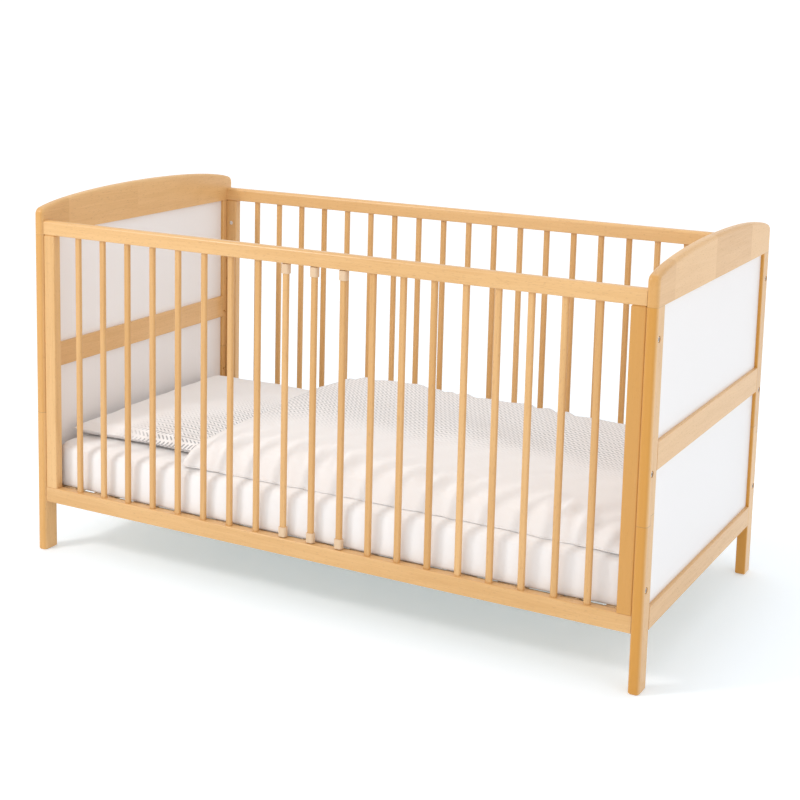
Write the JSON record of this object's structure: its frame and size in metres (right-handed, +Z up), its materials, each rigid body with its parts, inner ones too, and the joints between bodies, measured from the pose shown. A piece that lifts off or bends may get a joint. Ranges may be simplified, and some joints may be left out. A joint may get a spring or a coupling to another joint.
{
  "type": "baby crib",
  "caption": "Wooden cot bed with arched panelled ends, barred sides, sprung slip bars, a height-adjustable slatted base, mattress, pillow and duvet.",
  "frame": {"origin": "on the floor, under the middle of the bed", "axes": "+X along the length towards the foot end, -Y towards the front side with the slip bars, +Z up"},
  "size_m": [1.45, 0.77, 0.828],
  "materials": {
    "beech": "clear satin lacquer over beech",
    "beech_bars": "clear satin lacquer over beech",
    "dowel_beech": "raw fluted beech",
    "base_pine": "raw planed pine",
    "white_panel": "white satin lacquered board",
    "beige_cap": "beige moulded plastic",
    "zinc_steel": "bright zinc plated",
    "spring_steel": "drawn spring wire",
    "mattress_cover": "white knitted cover",
    "pillow_cotton": "white cotton",
    "duvet_cotton": "white cotton with rows of small grey dashes"
  },
  "bodies": {
    "frame": {"arched_rail_dowels": "dowel_beech", "barrel_nuts": "zinc_steel", "base_support_pins": "zinc_steel", "foot_arched_rail": "beech", "foot_bottom_rail": "beech", "foot_front_post_lower": "beech", "foot_front_post_upper": "beech", "foot_front_stile": "beech", "foot_lower_panel": "white_panel", "foot_middle_rail": "beech", "foot_rear_post_lower": "beech", "foot_rear_post_upper": "beech", "foot_rear_stile": "beech", "foot_upper_panel": "white_panel", "frame_bolts": "zinc_steel", "front_bars_foot": "beech_bars", "front_bars_head": "beech_bars", "front_bottom_rail": "beech", "front_top_rail": "beech", "head_arched_rail": "beech", "head_bottom_rail": "beech", "head_front_post_lower": "beech", "head_front_post_upper": "beech", "head_front_stile": "beech", "head_lower_panel": "white_panel", "head_middle_rail": "beech", "head_rear_post_lower": "beech", "head_rear_post_upper": "beech", "head_rear_stile": "beech", "head_upper_panel": "white_panel", "rear_bars": "beech_bars", "rear_bottom_rail": "beech", "rear_top_rail": "beech", "side_frame_dowels": "dowel_beech", "slip_bar_spring_1": "spring_steel", "slip_bar_spring_2": "spring_steel", "slip_bar_spring_3": "spring_steel", "slip_bar_top_cap_1": "beige_cap", "slip_bar_top_cap_2": "beige_cap", "slip_bar_top_cap_3": "beige_cap"},
    "base": {"base_corner_screws": "zinc_steel", "base_slats": "base_pine", "foot_base_beam": "base_pine", "front_base_beam": "base_pine", "head_base_beam": "base_pine", "rear_base_beam": "base_pine", "slat_screws": "zinc_steel", "mattress": "mattress_cover", "pillow": "pillow_cotton", "duvet": "duvet_cotton"},
    "slip_bar_1": {"slip_bar_1": "beech_bars", "slip_bar_bottom_cap_1": "beige_cap"},
    "slip_bar_2": {"slip_bar_2": "beech_bars", "slip_bar_bottom_cap_2": "beige_cap"},
    "slip_bar_3": {"slip_bar_3": "beech_bars", "slip_bar_bottom_cap_3": "beige_cap"}
  },
  "joints": [
    {"name": "base_height", "type": "slide", "parent": "frame", "child": "base", "axis": [0, 0, 1], "range_m": [0, 0.316]},
    {"name": "slip_bar_1_lift", "type": "slide", "parent": "frame", "child": "slip_bar_1", "axis": [0, 0, 1], "range_m": [0, 0.01], "stiffness_N_per_m": 400, "springref_m": -0.005, "deforming": ["slip_bar_spring_1"]},
    {"name": "slip_bar_2_lift", "type": "slide", "parent": "frame", "child": "slip_bar_2", "axis": [0, 0, 1], "range_m": [0, 0.01], "stiffness_N_per_m": 400, "springref_m": -0.005, "deforming": ["slip_bar_spring_2"]},
    {"name": "slip_bar_3_lift", "type": "slide", "parent": "frame", "child": "slip_bar_3", "axis": [0, 0, 1], "range_m": [0, 0.01], "stiffness_N_per_m": 400, "springref_m": -0.005, "deforming": ["slip_bar_spring_3"]}
  ]
}
